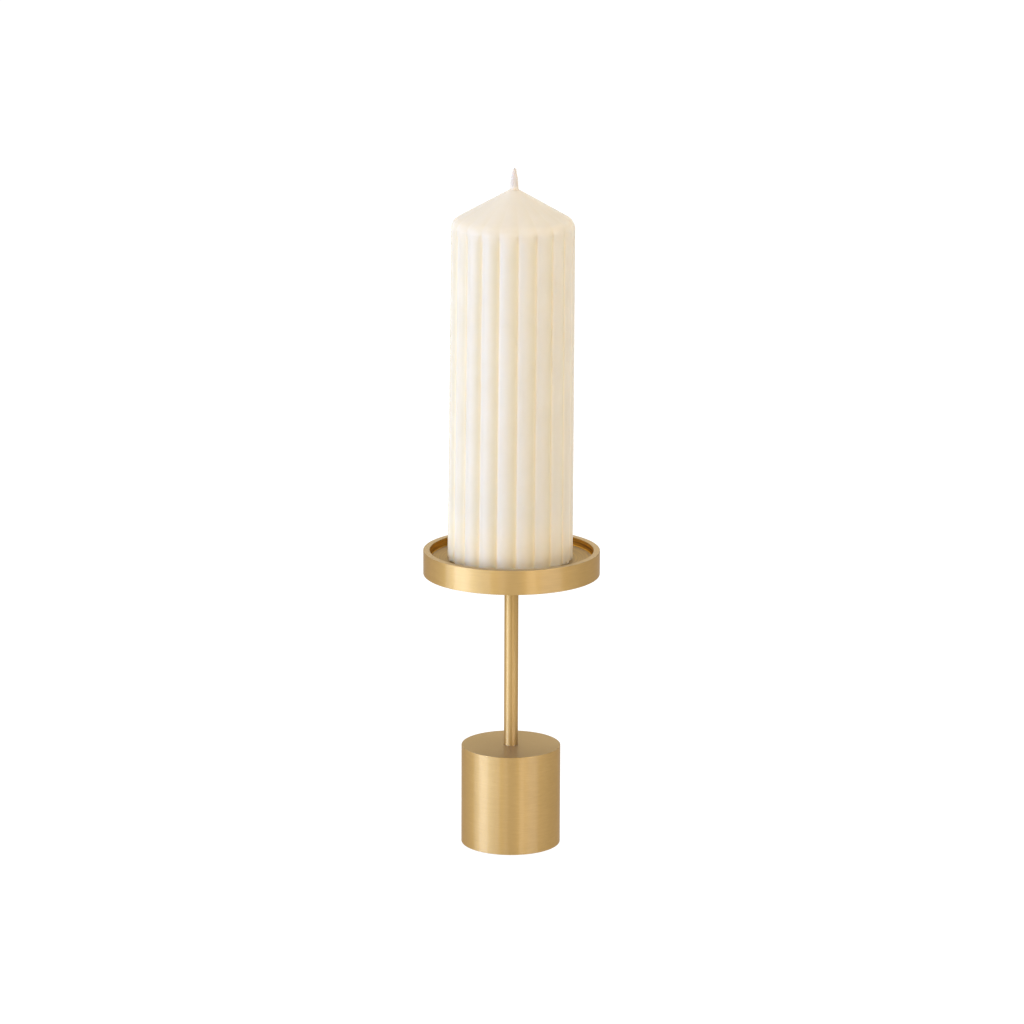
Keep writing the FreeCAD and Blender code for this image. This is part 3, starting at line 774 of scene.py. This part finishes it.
def make_wick(cotton):
    """Three plies twisted together, cut square at both ends."""
    low, high = WICK_LOW.z, WICK_HIGH.z
    count = round((high - low) / TWIST_STEP)
    vertices, faces = [], []
    for ply in range(PLY_COUNT):
        rings = []
        for i in range(count + 1):
            z = low + (high - low) * i / count
            turn = 2 * math.pi * (ply / PLY_COUNT + (z - low) / TWIST_LENGTH)
            middle = Vector((math.cos(turn), math.sin(turn), 0)) * (WICK_RADIUS - PLY_RADIUS)
            first = len(vertices)
            for k in range(PLY_SIDES):
                around = turn + 2 * math.pi * k / PLY_SIDES
                edge = middle + Vector((math.cos(around), math.sin(around), 0)) * PLY_RADIUS
                vertices.append(leaned(edge.x, edge.y, z))
            rings.append(list(range(first, first + PLY_SIDES)))
        faces += ring_faces(rings, False)
        faces.append(tuple(reversed(rings[0])))
        faces.append(tuple(rings[-1]))
    wick = piece_from("wick", vertices, faces, cotton, "candle")
    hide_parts("candle_wick")


def make_sustainer(tin):
    neck = TAB_BORE + TAB_SHEET
    outline = rounded([
        (TAB_BORE, TAB_LOW.z, TAB_BEND),
        (TAB_RADIUS, TAB_LOW.z, TAB_EDGE),
        (TAB_RADIUS, TAB_LOW.z + TAB_SHEET, TAB_EDGE),
        (neck, TAB_LOW.z + TAB_SHEET, TAB_BEND),
        (neck, TAB_HIGH.z, TAB_EDGE),
        (TAB_BORE, TAB_HIGH.z, TAB_EDGE),
    ])
    tab = lathe("sustainer", outline, SEGMENTS["sustainer"], tin, "candle")
    tab.data.transform(Matrix.Translation((FOOT_SHIFT, 0, 0)))
    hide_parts("wick_sustainer")


# ------------------------------------------------------------------------------------------ studio

def make_floor():
    """A wide pale floor, kept white by a glow of its own."""
    material, nodes = new_material("studio_floor")
    place = nodes.add("ShaderNodeTexCoord").outputs["Object"]
    grain = nodes.noise(place, 40.0, detail=3.0)
    shader = nodes.add(
        "ShaderNodeBsdfPrincipled",
        Base_Color=nodes.ramp(grain, [(0.3, (0.14, 0.14, 0.14)), (0.7, (0.16, 0.16, 0.16))]),
        Roughness=0.9,
        Specular_IOR_Level=0.0,
        Emission_Color=(*WHITE, 1.0),
        Emission_Strength=FLOOR_GLOW,
    )
    nodes.surface(shader.outputs[0])
    outline = [(radius, 0) for radius in FLOOR_RADII]
    floor = lathe("studio_floor", outline, SEGMENTS["floor"], material, None, closed=False)


def towards(azimuth, elevation):
    """A direction in degrees: azimuth from the front towards the right, elevation from the table."""
    a, e = math.radians(azimuth), math.radians(elevation)
    return Vector((math.sin(a) * math.cos(e), -math.cos(a) * math.cos(e), math.sin(e)))


def softbox(name, azimuth, elevation, distance, width, height, radiance, colour):
    """A rectangular light that faces the middle of the object."""
    direction = towards(azimuth, elevation)
    data = bpy.data.lights.new(name, "AREA")
    data.shape = "RECTANGLE"
    data.size, data.size_y = width, height
    data.energy = radiance * math.pi * width * height
    data.color = colour
    lamp = bpy.data.objects.new(name, data)
    lamp.location = Vector((0, 0, (CANDLE_HIGH.z + PAD_LOW.z) / 2)) + direction * distance
    lamp.rotation_euler = direction.to_track_quat("Z", "Y").to_euler()
    bpy.context.scene.collection.objects.link(lamp)


def make_sky():
    world = bpy.data.worlds.new("studio")
    bpy.context.scene.world = world
    nodes = Nodes(world)
    direction = nodes.add("ShaderNodeTexCoord").outputs["Generated"]
    strength = SKY_STRENGTH
    for azimuth, elevation, power, peak in SKY_GLOWS:
        facing = nodes.vector("DOT_PRODUCT", direction, towards(azimuth, elevation), output="Value")
        glow = nodes.maths("POWER", nodes.maths("MAXIMUM", facing, 0.0), power)
        strength = nodes.maths("MULTIPLY_ADD", glow, peak, strength)
    background = nodes.add("ShaderNodeBackground", Color=(*WHITE, 1.0), Strength=strength)
    nodes.add("ShaderNodeOutputWorld", Surface=background.outputs[0])


def make_studio():
    bpy.context.scene.view_settings.view_transform = "Standard"
    make_floor()
    make_sky()
    for name, settings in SOFTBOXES.items():
        softbox(name, *settings)


def make_camera():
    data = bpy.data.cameras.new("camera")
    data.sensor_width = SENSOR_MM
    data.lens = LENS_MM
    data.clip_start, data.clip_end = 0.1, 100.0
    camera = bpy.data.objects.new("camera", data)
    back = Vector((0, -math.cos(CAMERA_PITCH), math.sin(CAMERA_PITCH)))
    place = Matrix.Translation(CAMERA_AIM + back * CAMERA_DISTANCE)
    tilt_up = Matrix.Rotation(math.pi / 2 - CAMERA_PITCH, 4, "X")
    camera.matrix_world = place @ tilt_up @ Matrix.Rotation(CAMERA_ROLL, 4, "Z")
    bpy.context.scene.collection.objects.link(camera)
    bpy.context.scene.camera = camera


def dress_fasteners(steel):
    """The CAD's own screws and washers, in steel."""
    for node in ("dish_screw", "base_screw", "base_washer", "spring_washer"):
        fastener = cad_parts[node]
        fastener.data.materials.clear()
        fastener.data.materials.append(steel)


brass = brass_material()
make_base(brass)
make_stem(brass)
make_dish(brass)
make_pad(felt_material())
make_candle(wax_material())
make_wick(cotton_material())
make_sustainer(steel_material("tin_plate", (0.55, 0.55, 0.56), (0.72, 0.72, 0.73), 0.3))
dress_fasteners(steel_material("stainless_steel", (0.40, 0.40, 0.41), (0.60, 0.60, 0.60), 0.3))
make_studio()
make_camera()
